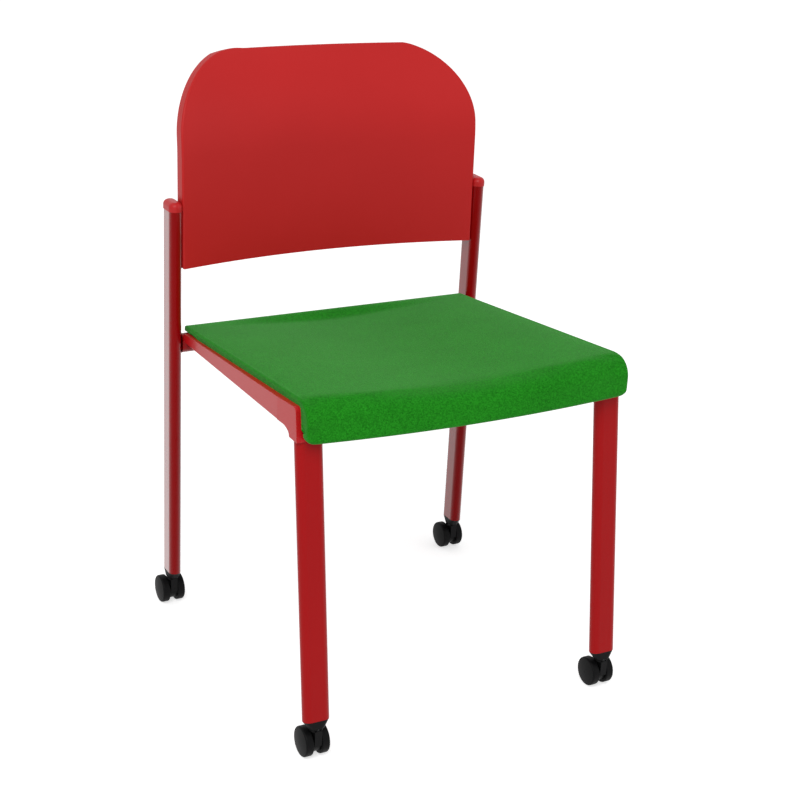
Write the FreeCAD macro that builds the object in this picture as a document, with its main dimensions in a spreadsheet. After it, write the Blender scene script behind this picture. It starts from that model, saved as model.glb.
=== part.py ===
import FreeCAD, Part
import Sketcher
import math
import os

from FreeCAD import Placement, Rotation, Vector

# Stacking chair on four twin-wheel castors. The front of the chair faces -Y, left is -X, up is +Z,
# and the floor is the plane z = 0 with the origin under the middle of the chair's outline.

doc = FreeCAD.newDocument("Chair")
sheet = doc.addObject("Spreadsheet::Sheet", "Sizes")

DRIVING_SIZES = (
    # flat-oval frame tube
    ("tube_long", 36.0),
    ("tube_thick", 18.0),
    ("tube_wall", 1.5),
    ("tube_fit", 0.2),
    # front legs, which rake forwards to the floor
    ("leg_half_span", 216.0),
    ("leg_foot_y", -255.6),
    ("leg_rake", 7.54),
    ("foot_height", 54.0),
    ("knee_lip", 417.0),
    # rear uprights, which also carry the backrest
    ("upright_half_span", 235.7),
    ("upright_y", 190.4),
    ("upright_top", 595.5),
    ("cap_height", 12.5),
    ("cap_overhang", 0.5),
    ("cap_fillet", 7.0),
    ("insert_depth", 22.0),
    # plane that the seat rests on
    ("seat_slope", 5.62),
    ("seat_rear_y", 186.4),
    ("seat_rear_base", 421.5),
    # side rails with the cast knee at the front
    ("rail_rear_y", 173.35),
    ("rail_rear_outer", 225.0),
    ("rail_front_outer", 236.0),
    ("rail_width", 21.0),
    ("rail_rear_depth", 19.0),
    ("rail_front_depth", 29.5),
    ("rail_chamfer", 7.0),
    ("rail_front_chamfer", 0.7),
    ("knee_margin", 2.0),
    ("knee_start_y", -160.6),
    ("knee_height", 45.6),
    ("knee_blend_rise", 5.6),
    ("knee_blend_run", 13.0),
    ("knee_blend_step", 1.0),
    ("knee_trim_gap", 4.0),
    ("knee_fillet", 9.0),
    ("knee_wide_fillet", 28.0),
    ("knee_front_fillet", 6.0),
    # cross tubes
    ("rear_tube_y", 182.4),
    ("rear_tube_z", 406.8),
    ("rear_tube_long", 28.0),
    ("front_tube_y", -152.6),
    ("front_tube_z", 434.4),
    ("front_tube_size", 20.0),
    # seat pad and the pan under it
    ("seat_rear_half", 220.0),
    ("seat_front_half", 230.0),
    ("seat_front_y", -235.6),
    ("seat_bow", 15.0),
    ("seat_front_bottom", 418.3),
    ("seat_flat_share", 0.92),
    ("pad_edge", 9.2),
    ("pad_dish", 8.0),
    ("pad_side_roll", 1.2),
    ("pad_corner_rise", 9.0),
    ("pad_crown_radius", 90.0),
    ("pad_crown_start", -5.62),
    ("pad_crown_end", 15.0),
    ("pad_nose_radius", 22.0),
    ("pad_toe_radius", 6.0),
    ("pad_lip_run", 24.0),
    ("pad_lip_round", 2.0),
    ("pad_ramp", 2.5),
    ("pad_front_inner_y", -220.2),
    ("pad_knee_y", -209.6),
    ("pad_knee_drop", 6.3),
    ("pad_gap", 0.3),
    ("pan_rear_y", 170.4),
    ("pan_front_y", -209.1),
    ("pan_dish", 10.0),
    ("pan_thick", 4.0),
    ("pan_inset", 3.0),
    ("pan_flat_share", 0.84),
    # backrest shell
    ("back_half_width", 226.1),
    ("back_bottom", 514.3),
    ("back_corner", 106.0),
    ("back_thick", 20.0),
    ("back_tip_thick", 13.0),
    ("back_edge_y", 175.4),
    ("back_sagitta", 26.4),
    ("back_lean", 1.53),
    ("back_curl_start", 668.0),
    ("back_curl_radius", 195.0),
    ("back_curl_angle", 41.8),
    ("back_edge_fillet", 2.5),
    ("back_cut_margin", 60.0),
    # brackets that hold the shell to the uprights
    ("bracket_width", 34.0),
    ("bracket_height", 64.0),
    ("bracket_thick", 2.5),
    ("bracket_corner", 6.0),
    ("bracket_middle", 560.0),
    ("bracket_angle", 12.05),
    ("bracket_screw_pitch", 38.0),
    ("bracket_screw_inset", 6.0),
    # screws
    ("screw_size", 5.0),
    ("screw_head", 9.0),
    ("screw_head_height", 3.0),
    ("screw_bite", 8.0),
    ("screw_fit", 0.1),
    ("screw_cover", 0.6),
    ("screw_seat_drop", 0.4),
    ("seat_screw_rear_x", 212.0),
    ("seat_screw_rear_y", 117.4),
    ("seat_screw_front_x", 219.0),
    ("seat_screw_front_y", -122.6),
    # twin-wheel castors
    ("wheel_size", 40.0),
    ("wheel_width", 11.4),
    ("wheel_dome", 1.6),
    ("wheel_wall", 3.0),
    ("wheel_recess", 3.0),
    ("wheel_lip", 0.4),
    ("wheel_inner_round", 1.6),
    ("wheel_outer_round", 2.6),
    ("wheel_side_gap", 0.4),
    ("hood_width", 10.0),
    ("hood_core", 31.0),
    ("hood_neck", 17.0),
    ("hood_crown", 1.8),
    ("trail", 10.0),
    ("front_stem_shift", -2.0),
    ("stem_size", 8.0),
    ("stem_length", 15.0),
    ("stem_collar", 14.0),
    ("stem_collar_height", 1.6),
    ("pivot_size", 6.6),
    ("pivot_length", 18.4),
    ("axle_size", 5.0),
    ("axle_length", 30.0),
    ("pin_bevel", 0.6),
    ("running_fit", 0.05),
    ("fixed_fit", 0.02),
    ("swivel_gap", 0.3),
    ("plug_height", 10.0),
    ("plug_tip_long", 22.0),
    ("plug_tip_thick", 17.0),
)


class Size:
    """A number together with the spreadsheet expression that it comes from."""

    def __init__(self, text, value):
        self.text = text
        self.value = value

    def joined(self, sign, other, value, swapped=False):
        text = other.text if isinstance(other, Size) else repr(other)
        pair = (text, self.text) if swapped else (self.text, text)
        return Size("(%s %s %s)" % (pair[0], sign, pair[1]), value)

    def __add__(self, other):
        return self.joined("+", other, self.value + number(other))

    def __radd__(self, other):
        return self.joined("+", other, number(other) + self.value, True)

    def __sub__(self, other):
        return self.joined("-", other, self.value - number(other))

    def __rsub__(self, other):
        return self.joined("-", other, number(other) - self.value, True)

    def __mul__(self, other):
        return self.joined("*", other, self.value * number(other))

    def __rmul__(self, other):
        return self.joined("*", other, number(other) * self.value, True)

    def __truediv__(self, other):
        return self.joined("/", other, self.value / number(other))

    def __neg__(self):
        return Size("(-1 * %s)" % self.text, -self.value)


def number(entry):
    return entry.value if isinstance(entry, Size) else float(entry)


def tangent(angle):
    return Size("tan(%s)" % angle.text, math.tan(math.radians(angle.value)))


def sine(angle):
    return Size("sin(%s)" % angle.text, math.sin(math.radians(angle.value)))


def cosine(angle):
    return Size("cos(%s)" % angle.text, math.cos(math.radians(angle.value)))


size = {}
for row, (alias, value) in enumerate(DRIVING_SIZES, start=1):
    sheet.set("A%d" % row, alias)
    sheet.set("B%d" % row, str(value))
    sheet.setAlias("B%d" % row, alias)
    size[alias] = Size("Sizes.%s" % alias, value)
doc.recompute()

SIDES = (("left", -1), ("right", 1))
X_AXIS = Vector(1, 0, 0)
Y_AXIS = Vector(0, 1, 0)
Z_AXIS = Vector(0, 0, 1)
parts = []


def bind(target, path, entry):
    """Ties one property of an object to the spreadsheet."""
    if isinstance(entry, Size):
        target.setExpression(path, entry.text)


def place(target, x=0.0, y=0.0, z=0.0, axis=None, angle=0.0):
    turn = Rotation(axis, number(angle)) if axis else Rotation()
    target.Placement = Placement(Vector(number(x), number(y), number(z)), turn)
    for letter, entry in (("x", x), ("y", y), ("z", z)):
        bind(target, "Placement.Base.%s" % letter, entry)


def new_body(label):
    body = doc.addObject("PartDesign::Body", label)
    body.Label = label
    parts.append(body)
    return body


def origin_plane(body, role):
    for feature in body.Origin.OriginFeatures:
        if feature.Role == role:
            return feature
    raise ValueError("no origin plane " + role)


def new_sketch(body, role, offset=0.0, shift=(0.0, 0.0), axis=None, angle=0.0):
    """A sketch on one of the body's own origin planes, moved along and across it, then turned."""
    sketch = body.newObject("Sketcher::SketchObject", "Sketch")
    sketch.AttachmentSupport = [(origin_plane(body, role), "")]
    sketch.MapMode = "FlatFace"
    base = Vector(number(shift[0]), number(shift[1]), number(offset))
    turn = Rotation(axis, number(angle)) if axis else Rotation()
    sketch.AttachmentOffset = Placement(base, turn)
    for letter, entry in (("x", shift[0]), ("y", shift[1]), ("z", offset)):
        bind(sketch, "AttachmentOffset.Base.%s" % letter, entry)
    return sketch


def dimension(sketch, kind, geometry, entry):
    """Adds a driving dimension and ties it to the spreadsheet."""
    index = sketch.addConstraint(Sketcher.Constraint(kind, *geometry, number(entry)))
    if isinstance(entry, Size):
        sketch.renameConstraint(index, "size_%d" % index)
        sketch.setExpression("Constraints.size_%d" % index, entry.text)


def fix_point(sketch, geometry, end, x, y):
    dimension(sketch, "DistanceX", (-1, 1, geometry, end), x)
    dimension(sketch, "DistanceY", (-1, 1, geometry, end), y)


def arc_centre(start, end, radius):
    """Middle of the arc from start to end; a positive radius turns anticlockwise."""
    chord = end - start
    across = Vector(-chord.y, chord.x, 0).normalize()
    reach = math.sqrt(radius * radius - chord.Length * chord.Length / 4)
    return (start + end) / 2 + across * math.copysign(reach, radius)


def draw_outline(sketch, corners):
    """A closed outline with every corner dimensioned from the origin.

    A corner is (x, y), or (x, y, radius) where an arc and not a straight line leads on from it.
    """
    first = sketch.GeometryCount
    places = [Vector(number(corner[0]), number(corner[1]), 0) for corner in corners]
    count = len(corners)
    ends = []
    for index, corner in enumerate(corners):
        start, end = places[index], places[(index + 1) % count]
        if len(corner) == 2:
            sketch.addGeometry(Part.LineSegment(start, end), False)
            ends.append((1, 2))
            continue
        radius = number(corner[2])
        centre = arc_centre(start, end, radius)
        if radius < 0:
            start, end = end, start
        angles = [math.atan2(point.y - centre.y, point.x - centre.x) for point in (start, end)]
        circle = Part.Circle(centre, Z_AXIS, abs(radius))
        sketch.addGeometry(Part.ArcOfCircle(circle, *angles), False)
        ends.append((1, 2) if radius > 0 else (2, 1))
    for index, corner in enumerate(corners):
        following = (index + 1) % count
        joint = (first + index, ends[index][1], first + following, ends[following][0])
        sketch.addConstraint(Sketcher.Constraint("Coincident", *joint))
        fix_point(sketch, first + index, ends[index][0], corner[0], corner[1])
    for index, corner in enumerate(corners):
        if len(corner) == 3:
            radius = corner[2] if number(corner[2]) > 0 else -corner[2]
            dimension(sketch, "Radius", (first + index,), radius)


def draw_circle(sketch, x, y, diameter):
    centre = Vector(number(x), number(y), 0)
    circle = sketch.addGeometry(Part.Circle(centre, Z_AXIS, number(diameter) / 2), False)
    fix_point(sketch, circle, 3, x, y)
    dimension(sketch, "Diameter", (circle,), diameter)


def draw_slot(sketch, long, thick, upright=False):
    """A flat oval about the sketch's origin: two straight flanks and two half-round noses."""
    radius = number(thick) / 2
    reach = (number(long) - number(thick)) / 2
    turn = Rotation(Z_AXIS, 90 if upright else 0)
    corners = [turn * Vector(x * reach, y * radius, 0) for x, y in ((-1, -1), (1, -1), (1, 1), (-1, 1))]
    centres = [turn * Vector(x * reach, 0, 0) for x in (1, -1)]
    start = math.radians(90 if upright else 0) - math.pi / 2
    first = sketch.GeometryCount
    sketch.addGeometry(Part.LineSegment(corners[0], corners[1]), False)
    for nose, centre in enumerate(centres):
        circle = Part.Circle(centre, Z_AXIS, radius)
        begin = start + nose * math.pi
        sketch.addGeometry(Part.ArcOfCircle(circle, begin, begin + math.pi), False)
        if nose == 0:
            sketch.addGeometry(Part.LineSegment(corners[2], corners[3]), False)
    line_a, nose_a, line_b, nose_b = range(first, first + 4)
    for one, other in ((line_a, nose_a), (nose_a, line_b), (line_b, nose_b), (nose_b, line_a)):
        sketch.addConstraint(Sketcher.Constraint("Tangent", one, 2, other, 1))
    sketch.addConstraint(Sketcher.Constraint("Vertical" if upright else "Horizontal", line_a))
    sketch.addConstraint(Sketcher.Constraint("Equal", nose_a, nose_b))
    sketch.addConstraint(Sketcher.Constraint("Symmetric", nose_a, 3, nose_b, 3, -1, 1))
    dimension(sketch, "Radius", (nose_a,), thick / 2)
    kind = "DistanceY" if upright else "DistanceX"
    dimension(sketch, kind, (nose_b, 3, nose_a, 3), long - thick)


def pad(body, sketch, length, both_ways=False, reverse=False):
    feature = body.newObject("PartDesign::Pad", "Pad")
    feature.Profile = sketch
    feature.Length = number(length)
    bind(feature, "Length", length)
    feature.Midplane = both_ways
    feature.Reversed = reverse
    sketch.Visibility = False
    doc.recompute()
    return feature


def pocket(body, sketch, length=None, both_ways=False, reverse=False):
    """Cuts the sketch out of the body, right through unless a length is given."""
    doc.recompute()
    before = body.Shape.Volume
    feature = body.newObject("PartDesign::Pocket", "Pocket")
    feature.Profile = sketch
    feature.Midplane = both_ways
    feature.Reversed = reverse
    if length is None:
        feature.Type = "ThroughAll"
    else:
        feature.Length = number(length)
        bind(feature, "Length", length)
    doc.recompute()
    if body.Shape.Volume > before - 0.01:
        raise ValueError("a pocket of %s cuts nothing" % body.Label)
    return feature


def revolve(body, sketch, axis="V_Axis", angle=360.0, both_ways=False):
    feature = body.newObject("PartDesign::Revolution", "Revolution")
    feature.Profile = sketch
    feature.ReferenceAxis = (sketch, [axis])
    feature.Angle = angle
    feature.Midplane = both_ways
    doc.recompute()
    return feature


def loft(body, sketches, ruled=False):
    feature = body.newObject("PartDesign::AdditiveLoft", "Loft")
    feature.Profile = sketches[0]
    feature.Sections = sketches[1:]
    feature.Ruled = ruled
    doc.recompute()
    return feature


def round_edges(body, radius, wanted, kind="PartDesign::Fillet"):
    """Rounds, or chamfers, every edge of the body that the test picks by its middle and direction."""
    doc.recompute()
    base = body.Tip
    names = []
    for index, edge in enumerate(base.Shape.Edges, start=1):
        middle = edge.valueAt((edge.FirstParameter + edge.LastParameter) / 2)
        ends = edge.Vertexes
        reach = ends[-1].Point - ends[0].Point
        if wanted(middle, reach):
            names.append("Edge%d" % index)
    if not names:
        raise ValueError("no edge of %s to round" % body.Label)
    feature = body.newObject(kind, "Rounding")
    feature.Base = (base, names)
    path = "Radius" if kind.endswith("Fillet") else "Size"
    setattr(feature, path, number(radius))
    bind(feature, path, radius)
    doc.recompute()
    return feature


def drill(body, start, direction, diameter, depth):
    """A round hole from the start point along a direction, both in the body's own frame."""
    doc.recompute()
    before = body.Shape.Volume
    feature = body.newObject("PartDesign::SubtractiveCylinder", "Bore")
    feature.Radius = number(diameter) / 2
    feature.Height = number(depth)
    bind(feature, "Radius", diameter / 2)
    bind(feature, "Height", depth)
    turn = Rotation(Z_AXIS, direction)
    feature.Placement = Placement(Vector(*[number(entry) for entry in start]), turn)
    for letter, entry in zip("xyz", start):
        bind(feature, "Placement.Base.%s" % letter, entry)
    doc.recompute()
    if body.Shape.Volume > before - 0.01:
        raise ValueError("a bore of %s cuts nothing" % body.Label)


def seat_base(y):
    """Height of the plane that the seat rests on, at a distance y from the middle."""
    return size["seat_rear_base"] + (size["seat_rear_y"] - y) * tangent(size["seat_slope"])


def leg_axis_y(z):
    """Where the middle line of a front leg is at a height z."""
    return size["leg_foot_y"] + (z - size["foot_height"]) * tangent(size["leg_rake"])


def frame_tube(label, length, upright):
    """A length of flat-oval tube along the body's own +Z."""
    body = new_body(label)
    section = new_sketch(body, "XY_Plane")
    draw_slot(section, size["tube_long"], size["tube_thick"], upright)
    inner_long = size["tube_long"] - 2 * size["tube_wall"]
    inner_thick = size["tube_thick"] - 2 * size["tube_wall"]
    draw_slot(section, inner_long, inner_thick, upright)
    pad(body, section, length)
    return body


def insert_sizes():
    """Section of a plug that slides into the frame tube."""
    shrink = 2 * size["tube_wall"] + 2 * size["tube_fit"]
    return size["tube_long"] - shrink, size["tube_thick"] - shrink


def front_leg(name, side):
    """Raked leg tube, cut level at the top where the cast knee stands on it."""
    slope = tangent(size["leg_rake"])
    thick = size["tube_thick"]
    length = (size["knee_lip"] - size["foot_height"]) / cosine(size["leg_rake"])
    body = frame_tube("front_leg_" + name, length + thick * slope, False)
    level = new_sketch(body, "YZ_Plane")
    draw_outline(
        level,
        (
            (-thick, length - thick * slope),
            (thick, length + thick * slope),
            (thick, length + 2 * thick),
            (-thick, length + 2 * thick),
        ),
    )
    pocket(body, level, 2 * size["tube_long"], both_ways=True)
    place(
        body,
        side * size["leg_half_span"],
        size["leg_foot_y"],
        size["foot_height"],
        -X_AXIS,
        size["leg_rake"],
    )


def rear_upright(name, side):
    body = frame_tube("rear_upright_" + name, size["upright_top"] - size["foot_height"], True)
    place(body, side * size["upright_half_span"], size["upright_y"], size["foot_height"])


def upright_cap(name, side):
    """Domed cap with a stub that sits in the top of the upright."""
    body = new_body("upright_cap_" + name)
    outline = new_sketch(body, "XY_Plane")
    grow = 2 * size["cap_overhang"]
    draw_slot(outline, size["tube_long"] + grow, size["tube_thick"] + grow, True)
    pad(body, outline, size["cap_height"])
    top = number(size["cap_height"])
    round_edges(body, size["cap_fillet"], lambda middle, reach: middle.z > top - 0.01)
    stub = new_sketch(body, "XY_Plane")
    draw_slot(stub, *insert_sizes(), True)
    pad(body, stub, size["insert_depth"], reverse=True)
    place(body, side * size["upright_half_span"], size["upright_y"], size["upright_top"])


def rail_share(y):
    """How far a distance y is along the rail, from its rear end to the knee."""
    return (size["rail_rear_y"] - y) / (size["rail_rear_y"] - size["knee_start_y"])


def rail_outer(y):
    spread = size["rail_front_outer"] - size["rail_rear_outer"]
    return size["rail_rear_outer"] + spread * rail_share(y)


def rail_depth(y):
    return size["rail_rear_depth"] + (size["rail_front_depth"] - size["rail_rear_depth"]) * rail_share(y)


def seat_screw_places():
    for side in (-1, 1):
        yield side * size["seat_screw_rear_x"], size["seat_screw_rear_y"]
        yield side * size["seat_screw_front_x"], size["seat_screw_front_y"]


def screw_hole():
    return size["screw_size"] + 2 * size["screw_fit"]


def rail_section(body, side, y, outer, depth, chamfer):
    """Section of the side rail: a bar with its lower outer edge chamfered."""
    top = seat_base(y)
    section = new_sketch(body, "XZ_Plane", -y)
    draw_outline(
        section,
        (
            (side * outer, top),
            (side * outer, top - depth + chamfer),
            (side * (outer - chamfer), top - depth),
            (side * (outer - size["rail_width"]), top - depth),
            (side * (outer - size["rail_width"]), top),
        ),
    )
    return section


def side_rail(name, side):
    """Cast rail under one edge of the seat, with a knee that turns down into the front leg."""
    body = new_body("side_rail_" + name)
    rear_y = size["rail_rear_y"]
    knee_y = size["knee_start_y"]
    rear = rail_section(
        body, side, rear_y, size["rail_rear_outer"], size["rail_rear_depth"], size["rail_chamfer"]
    )
    front = rail_section(
        body, side, knee_y, size["rail_front_outer"], size["rail_front_depth"], size["rail_front_chamfer"]
    )
    loft(body, [rear, front], ruled=True)

    half = (size["tube_thick"] / 2 + size["knee_margin"]) / cosine(size["leg_rake"])
    lip = size["knee_lip"]
    front_top = lip + size["knee_height"]
    rail_low = seat_base(knee_y) - size["rail_front_depth"]
    width = size["tube_long"] + 2 * size["knee_margin"]
    inner = size["leg_half_span"] - size["tube_long"] / 2 - size["knee_margin"]
    knee = new_sketch(body, "YZ_Plane", side * (inner + width / 2))
    front_y = leg_axis_y(front_top) - half
    low_corner_z = lip + size["knee_blend_rise"]
    low_corner_y = leg_axis_y(low_corner_z) + half
    draw_outline(
        knee,
        (
            (knee_y, seat_base(knee_y)),
            (front_y, seat_base(front_y)),
            (leg_axis_y(lip) - half, lip),
            (leg_axis_y(lip) + half, lip),
            (low_corner_y, low_corner_z),
            (low_corner_y + size["knee_blend_run"], rail_low + size["knee_blend_step"]),
            (knee_y, rail_low),
        ),
    )
    pad(body, knee, width, both_ways=True)
    trim = new_sketch(body, "YZ_Plane", side * inner)
    cut_y = leg_axis_y(rail_low) + half + size["knee_trim_gap"]
    clear = seat_base(cut_y) + size["knee_trim_gap"]
    draw_outline(trim, ((cut_y, lip), (knee_y, lip), (knee_y, clear), (cut_y, clear)))
    pocket(body, trim, size["rail_front_outer"] - size["rail_width"] - inner, reverse=side > 0)

    bends = (
        (low_corner_y, size["knee_fillet"]),
        (low_corner_y + size["knee_blend_run"], size["knee_wide_fillet"]),
        (front_y, size["knee_front_fillet"]),
    )
    for bend_y, radius in bends:
        round_edges(
            body,
            radius,
            lambda middle, reach: abs(reach.x) > 15
            and abs(reach.z) < 0.1
            and abs(middle.y - number(bend_y)) < 2
            and middle.z > number(lip) + 2,
        )
    root = lip + size["knee_blend_step"]
    foot = (side * size["leg_half_span"], leg_axis_y(root))
    stub = new_sketch(body, "XY_Plane", root, foot, -X_AXIS, size["leg_rake"])
    draw_slot(stub, *insert_sizes())
    pad(body, stub, size["insert_depth"], reverse=True)
    for x, y in seat_screw_places():
        if number(x) * side > 0:
            under = (x, y, seat_base(y) - rail_depth(y) - 1)
            drill(body, under, Z_AXIS, screw_hole(), rail_depth(y) + 2)


def cross_tube(label, length, y, z, outline):
    """A hollow tube along X between the two sides."""
    body = new_body(label)
    section = new_sketch(body, "YZ_Plane")
    outline(section)
    pad(body, section, length, both_ways=True)
    place(body, 0.0, y, z)
    return body


def rear_cross_tube():
    def oval(section):
        wall = 2 * size["tube_wall"]
        draw_slot(section, size["rear_tube_long"], size["tube_thick"], True)
        draw_slot(section, size["rear_tube_long"] - wall, size["tube_thick"] - wall, True)

    length = 2 * size["upright_half_span"] - size["tube_thick"]
    cross_tube("rear_cross_tube", length, size["rear_tube_y"], size["rear_tube_z"], oval)


def front_cross_tube():
    def ring(section):
        draw_circle(section, 0.0, 0.0, size["front_tube_size"])
        draw_circle(section, 0.0, 0.0, size["front_tube_size"] - 2 * size["tube_wall"])

    rear_side = size["front_tube_y"] + size["front_tube_size"] / 2
    length = 2 * (rail_outer(rear_side) - size["rail_width"])
    cross_tube("front_cross_tube", length, size["front_tube_y"], size["front_tube_z"], ring)


def seat_half(y):
    """Half the width of the seat at a distance y from the middle; it widens to the front."""
    share = (size["seat_rear_y"] - y) / (size["seat_rear_y"] - size["seat_front_y"])
    return size["seat_rear_half"] + (size["seat_front_half"] - size["seat_rear_half"]) * share


def pan_section(body, y):
    """Section of the pan: flat where it lies on the rails, dished between them."""
    low = seat_base(y)
    high = low + size["pan_thick"]
    edge = seat_half(y) - size["pan_inset"]
    ramp = seat_half(y) * size["pan_flat_share"]
    dish = size["pan_dish"]
    radius = (ramp * ramp + dish * dish) / (2 * dish)
    section = new_sketch(body, "XZ_Plane", -y)
    draw_outline(
        section,
        (
            (-edge, low),
            (-ramp, low, radius),
            (ramp, low),
            (edge, low),
            (edge, high),
            (ramp, high, -radius),
            (-ramp, high),
            (-edge, high),
        ),
    )
    return section


def seat_pan():
    body = new_body("seat_pan")
    ends = [pan_section(body, size[alias]) for alias in ("pan_rear_y", "pan_front_y")]
    plain_pan = loft(body, ends, ruled=True)
    for x, y in seat_screw_places():
        start = (x, y, seat_base(y) - 1)
        drill(body, start, Z_AXIS, screw_hole(), size["pan_thick"] + 1 - size["screw_cover"])
    return plain_pan


def pad_profile(share, roll, rise):
    """Side profile of the pad at a share of its half width, closed round its front drop.

    Towards the sides the top rolls down and the lower front edge rises.
    """
    full = {alias: number(entry) for alias, entry in size.items()}
    dip = max(0.0, 1 - (share / full["seat_flat_share"]) ** 2)
    sag = max(0.0, 1 - (share / full["pan_flat_share"]) ** 2)

    def point(y, z):
        return Vector(share * number(seat_half(y)), y, z)

    def top(y, dished=1):
        return number(seat_base(y)) + full["pad_edge"] - roll - dished * full["pad_dish"] * dip

    def under(y):
        if sag == 0:
            return number(seat_base(y)) + full["pad_gap"]
        return number(seat_base(y)) + full["pan_thick"] / 2 - full["pan_dish"] * sag

    def bend(start, radius, slope_in, slope_out):
        """Arc that falls away to the front from one slope to a steeper one."""
        slopes = [math.radians(slope_in + (slope_out - slope_in) * part) for part in (0, 0.5, 1)]
        runs = [radius * (math.sin(slope) - math.sin(slopes[0])) for slope in slopes]
        drops = [radius * (math.cos(slopes[0]) - math.cos(slope)) for slope in slopes]
        places = [point(start.y - run, start.z - drop) for run, drop in zip(runs, drops)]
        return Part.Arc(*places).toShape(), places[-1]

    def lines(*points):
        return [Part.makeLine(start, end) for start, end in zip(points, points[1:])]

    crown_end = math.sin(math.radians(full["pad_crown_end"]))
    crown_start = math.sin(math.radians(full["pad_crown_start"]))
    run = full["pad_crown_radius"] * (crown_end - crown_start)
    run += full["pad_nose_radius"] * (1 - crown_end)
    front_y = full["seat_front_y"] + roll - full["seat_bow"] * (1 - share * share)
    crease = point(front_y + run, top(front_y + run))
    crown, shoulder = bend(
        crease, full["pad_crown_radius"], full["pad_crown_start"], full["pad_crown_end"]
    )
    nose, brow = bend(shoulder, full["pad_nose_radius"], full["pad_crown_end"], 90)

    toe = full["pad_toe_radius"]
    bottom = full["seat_front_bottom"] + rise
    toe_start = point(brow.y, bottom + toe)
    toe_middle = point(brow.y + toe * (1 - math.sqrt(0.5)), bottom + toe * (1 - math.sqrt(0.5)))
    toe_end = point(brow.y + toe, bottom)

    rear_y = full["seat_rear_y"]
    inner_y = full["pad_front_inner_y"]
    pan_y = full["pan_rear_y"]
    lip = full["pad_lip_round"]
    rear_low = point(rear_y, number(seat_base(rear_y)) + full["pad_gap"])
    lip_start = point(rear_y, top(rear_y, 0) - lip)
    lip_end = point(rear_y - lip, top(rear_y - lip, 0))
    dish_end = point(rear_y - full["pad_lip_run"], top(rear_y - full["pad_lip_run"]))
    edges = lines(rear_low, lip_start, lip_end, dish_end, crease)
    edges += [crown, nose]
    edges += lines(brow, toe_start)
    edges.append(Part.Arc(toe_start, toe_middle, toe_end).toShape())
    tube_y = pan_y + full["pad_ramp"]
    tube_end = point(tube_y, number(seat_base(tube_y)) + full["pad_gap"])
    knee_y = full["pad_knee_y"]
    inner_low = point(inner_y, bottom)
    inner_high = point(inner_y, under(inner_y) - full["pad_knee_drop"])
    edges += lines(toe_end, inner_low, inner_high, point(knee_y, under(knee_y)))
    edges += lines(point(knee_y, under(knee_y)), point(pan_y, under(pan_y)), tube_end, rear_low)
    return Part.Wire(edges)


def seat_pad(pan):
    """Upholstered pad: dished, with a raised rear lip and a front that rolls over and drops."""
    roll, rise = number(size["pad_side_roll"]), number(size["pad_corner_rise"])
    half = [(1.0, roll, rise), (0.98, 0.0, rise / 4)]
    half += [(number(size[alias]), 0.0, 0.0) for alias in ("seat_flat_share", "pan_flat_share")]
    half.append((0.5, 0.0, 0.0))
    stations = [(-share, *rest) for share, *rest in half] + [(0.0, 0.0, 0.0)] + half[::-1]
    solid = Part.makeLoft([pad_profile(*station) for station in stations], True, True)
    feature = doc.addObject("Part::Feature", "seat_pad")
    feature.Label = "seat_pad"
    feature.Shape = solid.cut(pan.Shape)
    parts.append(feature)


def plan_radius():
    half, sagitta = size["back_half_width"], size["back_sagitta"]
    return (half * half + sagitta * sagitta) / (2 * sagitta)


def back_axis_y():
    """The backrest is turned about an upright line this far in front of the chair."""
    return size["back_edge_y"] + size["back_sagitta"] - plan_radius()


def back_shell():
    """Backrest shell: hollow to the sitter in plan, straight low down, curled back at the top.

    Its rear face leaves the straight part in an arc of its own, so that the curl thins to the tip.
    """
    body = new_body("back_shell")
    radius = plan_radius()
    low, start = size["back_bottom"], size["back_curl_start"]
    thick, lean = size["back_thick"], size["back_lean"]
    end = lean + size["back_curl_angle"]
    curl = size["back_curl_radius"]
    front_y = radius + (start - low) * tangent(lean)
    middle = (front_y + curl * cosine(lean), start - curl * sine(lean))

    def rim(reach, angle):
        return middle[0] - reach * cosine(angle), middle[1] + reach * sine(angle)

    bend, tip = rim(curl - thick, lean), rim(curl - size["back_tip_thick"], end)
    across, along = tip[0] - bend[0], tip[1] - bend[1]
    turn_in = across * cosine(lean) - along * sine(lean)
    rear_curl = (across * across + along * along) / (2 * turn_in)

    section = new_sketch(body, "YZ_Plane")
    draw_outline(
        section,
        (
            (radius, low),
            (*rim(curl, lean), -curl),
            rim(curl, end),
            (*tip, rear_curl),
            bend,
            (radius + thick / cosine(lean), low),
        ),
    )
    revolve(body, section, angle=30.0, both_ways=True)
    top = rim(curl, end)[1] + size["screw_fit"]
    half, corner = size["back_half_width"], size["back_corner"]
    edge = size["back_cut_margin"]
    frame = new_sketch(body, "XZ_Plane", -(radius + 2 * edge))
    draw_outline(
        frame,
        (
            (-2 * half, low - 2 * edge),
            (2 * half, low - 2 * edge),
            (2 * half, top + 2 * edge),
            (-2 * half, top + 2 * edge),
        ),
    )
    draw_outline(
        frame,
        (
            (-half, low - edge),
            (half, low - edge),
            (half, top - corner, corner),
            (half - corner, top),
            (half - corner, top + edge),
            (corner - half, top + edge),
            (corner - half, top, corner),
            (-half, top - corner),
        ),
    )
    pocket(body, frame, reverse=True)
    limit = number(half) - 1
    round_edges(
        body,
        size["back_edge_fillet"],
        lambda middle, reach: abs(middle.x) > limit or middle.z > number(top - corner),
    )
    place(body, 0.0, back_axis_y(), 0.0)
    return body


def back_outside(z):
    """Distance from the backrest's turning line to its rear face at a height z."""
    lean = size["back_lean"]
    return plan_radius() + (z - size["back_bottom"]) * tangent(lean) + size["back_thick"] / cosine(lean)


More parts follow.
